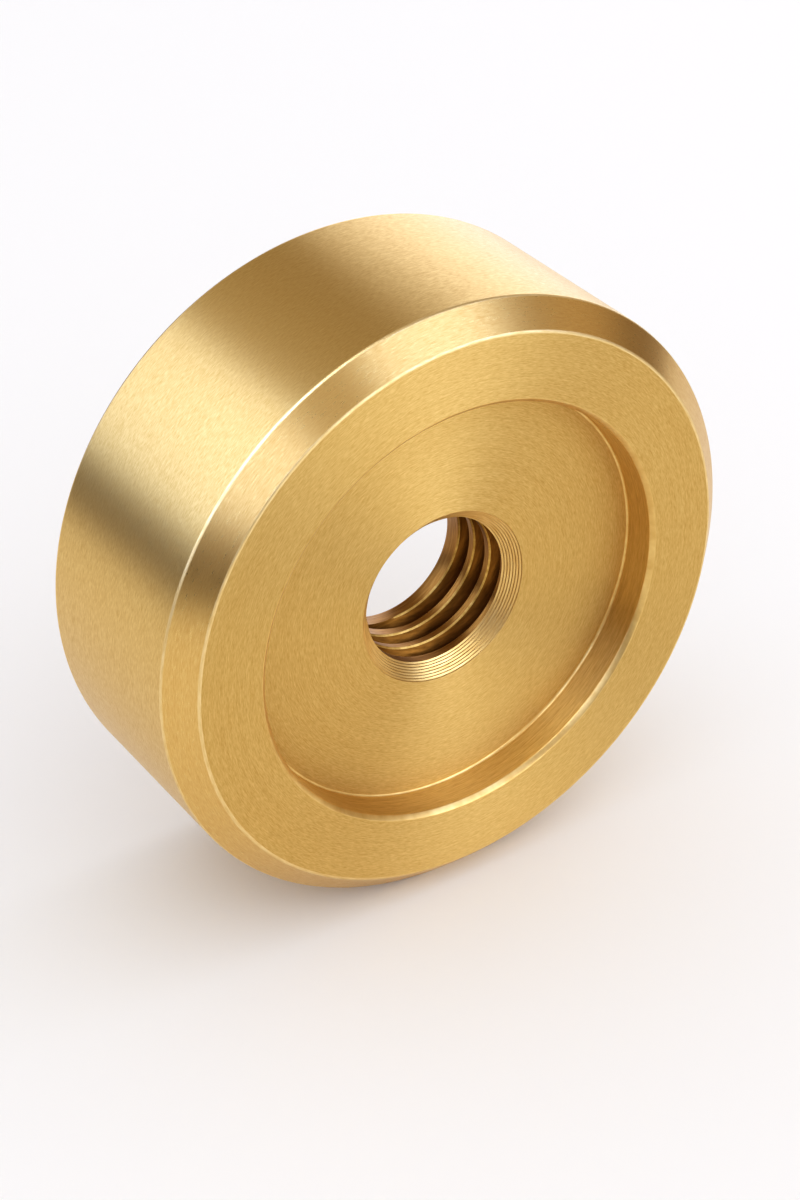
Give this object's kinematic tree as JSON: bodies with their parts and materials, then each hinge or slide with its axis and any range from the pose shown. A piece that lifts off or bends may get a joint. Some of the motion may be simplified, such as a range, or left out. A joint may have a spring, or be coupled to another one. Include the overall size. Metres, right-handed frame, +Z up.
{
  "type": "round nut",
  "caption": "Thick round nut with a bevelled front edge, a shallow front recess, a rear counterbore and a threaded centre hole.",
  "frame": {"origin": "on the nut's axis, halfway through its thickness, which is the middle of its box", "axes": "+Y along the axis from the recessed front face to the back; +Z up, with the nut standing on its edge; +X to the right seen from the front"},
  "size_m": [0.042, 0.0154, 0.042],
  "materials": {
    "brass": "satin, lathe turned, with fine turning marks round the axis and no lacquer"
  },
  "bodies": {
    "root": {"nut_body": "brass"}
  },
  "joints": []
}
